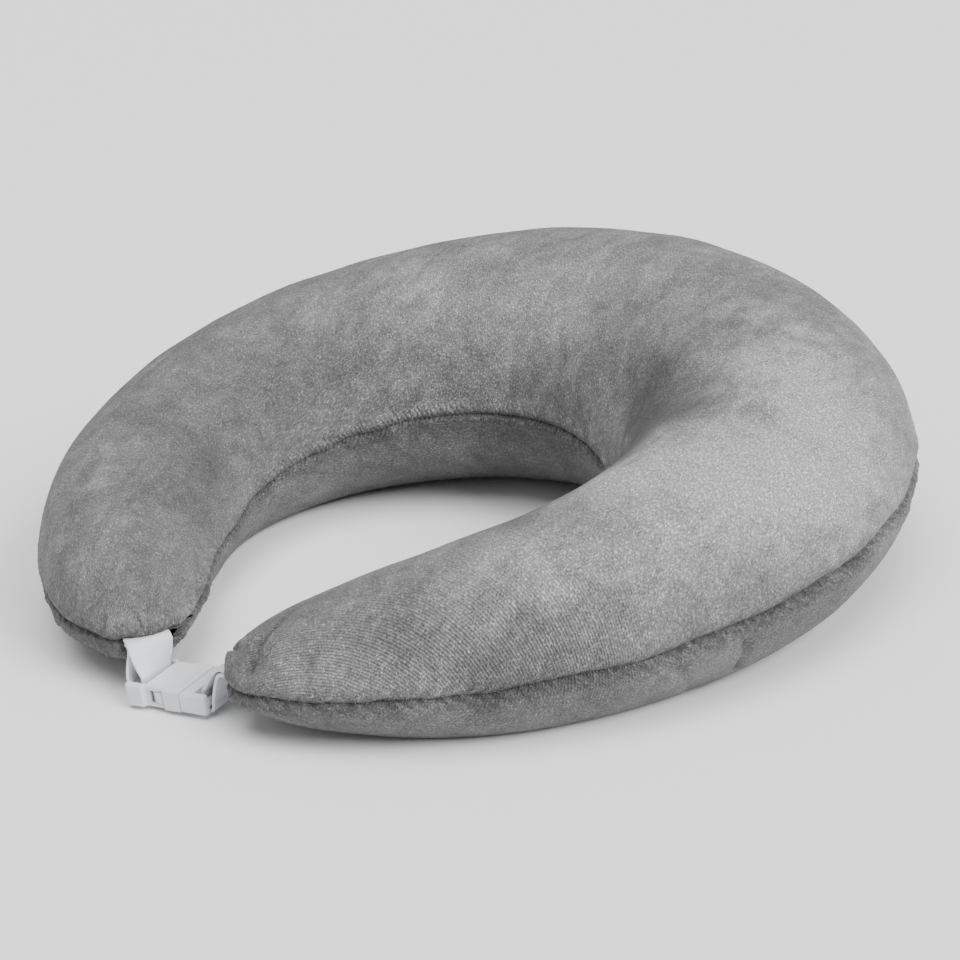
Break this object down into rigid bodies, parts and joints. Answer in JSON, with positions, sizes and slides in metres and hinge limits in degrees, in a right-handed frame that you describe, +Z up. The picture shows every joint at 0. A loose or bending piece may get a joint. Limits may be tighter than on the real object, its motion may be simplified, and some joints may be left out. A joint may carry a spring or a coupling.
{
  "type": "neck pillow",
  "caption": "U-shaped foam travel neck pillow in a zipped plush cover, with looped straps and a side-release buckle across the arm tips.",
  "frame": {"origin": "on the floor, below the middle of the whole object's box", "axes": "+X towards the right arm, across the pillow's width; +Y from the neck opening towards the back of the pillow; +Z up from the floor it lies on"},
  "size_m": [0.3213, 0.2868, 0.0952],
  "materials": {
    "memory_foam": "open-cell polyurethane foam, pale yellow",
    "plush_velour": "short-pile plush velour, mid grey",
    "zip_tape": "woven polyester tape, dark grey",
    "zip_coil": "nylon coil, dark grey",
    "slider_metal": "satin grey zinc alloy",
    "white_webbing": "ribbed woven webbing, white",
    "white_plastic": "moulded acetal, white, satin"
  },
  "bodies": {
    "pillow": {"foam_core": "memory_foam", "cover_top_panel": "plush_velour", "cover_bottom_panel": "plush_velour", "zip_tape_upper": "zip_tape", "zip_tape_lower": "zip_tape", "zip_coil_upper": "zip_coil", "zip_coil_lower": "zip_coil", "zip_stop_closed_end": "slider_metal", "zip_stop_open_end": "slider_metal"},
    "socket_side": {"buckle_socket": "white_plastic", "left_strap_loop": "white_webbing", "right_strap_loop": "white_webbing"},
    "plug": {"buckle_plug": "white_plastic"},
    "prong_front": {"buckle_prong_front": "white_plastic"},
    "prong_back": {"buckle_prong_back": "white_plastic"},
    "slider": {"zip_slider": "slider_metal"},
    "pull_tab": {"zip_pull_tab": "slider_metal"}
  },
  "joints": [
    {"name": "buckle_swing", "type": "hinge", "parent": "pillow", "child": "socket_side", "pos_m": [-0.008, -0.1288, 0.0171], "axis": [-0.9985, -0.0537, 0.0054], "range_deg": [0, 15], "deforming": ["left_strap_loop"]},
    {"name": "buckle_release", "type": "slide", "parent": "socket_side", "child": "plug", "axis": [0.9848, 0.1736, 0], "range_m": [0, 0.0135], "deforming": ["right_strap_loop", "buckle_prong_front", "buckle_prong_back"]},
    {"name": "prong_front_squeeze", "type": "hinge", "parent": "plug", "child": "prong_front", "pos_m": [-0.00644, -0.13517, 0.0048], "axis": [0, 0, -1], "range_deg": [0, 15], "stiffness_Nm_per_rad": 0.02},
    {"name": "prong_back_squeeze", "type": "hinge", "parent": "plug", "child": "prong_back", "pos_m": [-0.00863, -0.12276, 0.0048], "axis": [0, 0, 1], "range_deg": [0, 15], "stiffness_Nm_per_rad": 0.02},
    {"name": "zip_slide", "type": "hinge", "parent": "pillow", "child": "slider", "pos_m": [0, -0.03867, 0.026], "axis": [0, 0.0833, -0.9965], "range_deg": [0, 46]},
    {"name": "pull_tab_lift", "type": "hinge", "parent": "slider", "child": "pull_tab", "pos_m": [-0.07167, 0.12941, 0.04004], "axis": [0, -0.0833, 0.9965], "range_deg": [0, 150]}
  ]
}
